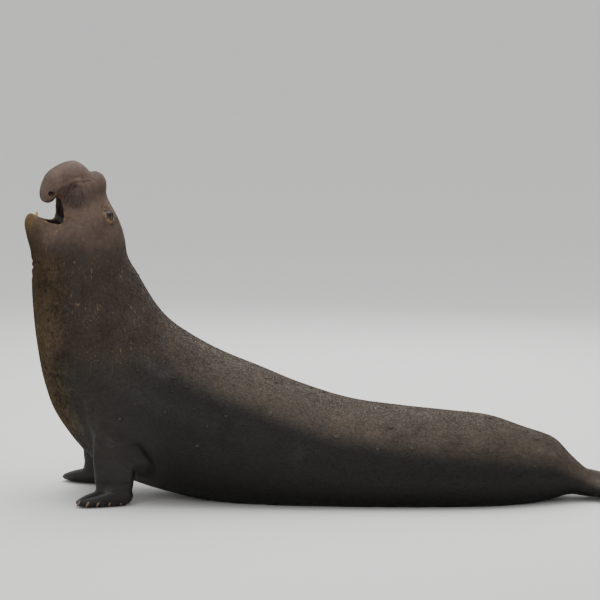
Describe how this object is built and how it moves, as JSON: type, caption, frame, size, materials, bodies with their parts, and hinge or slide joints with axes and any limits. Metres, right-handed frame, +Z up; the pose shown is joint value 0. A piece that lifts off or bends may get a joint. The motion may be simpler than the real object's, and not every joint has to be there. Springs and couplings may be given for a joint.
{
  "type": "elephant seal",
  "caption": "Still, life-size elephant seal bull, reared on its fore flippers with the head thrown up and the mouth wide open, the hind body lying flat.",
  "frame": {"origin": "on the floor that the seal rests on, under the centre of its bounding box", "axes": "+Z up, -X is the way the seal faces, +X runs along its body to the hind flippers, -Y is the seal's left side"},
  "size_m": [3.2916, 0.8638, 1.6969],
  "materials": {
    "hide": "short close fur, half dry, taupe brown",
    "wet_hide": "short close fur, wet and dark with a soft sheen",
    "nose_hide": "bare wrinkled skin, satin",
    "eye": "wet, glossy, near black",
    "tongue": "wet flesh",
    "tooth": "stained ivory",
    "claw": "brown horn, satin"
  },
  "bodies": {
    "root": {"head": "hide", "proboscis": "nose_hide", "lower_jaw": "hide", "tongue": "tongue", "eye_left": "eye", "eye_right": "eye", "neck": "hide", "chest": "hide", "belly": "wet_hide", "hindquarters": "wet_hide", "rump": "wet_hide", "tail": "wet_hide", "fore_flipper_left": "hide", "fore_flipper_right": "hide", "hind_flipper_left": "wet_hide", "hind_flipper_right": "wet_hide"}
  },
  "joints": []
}
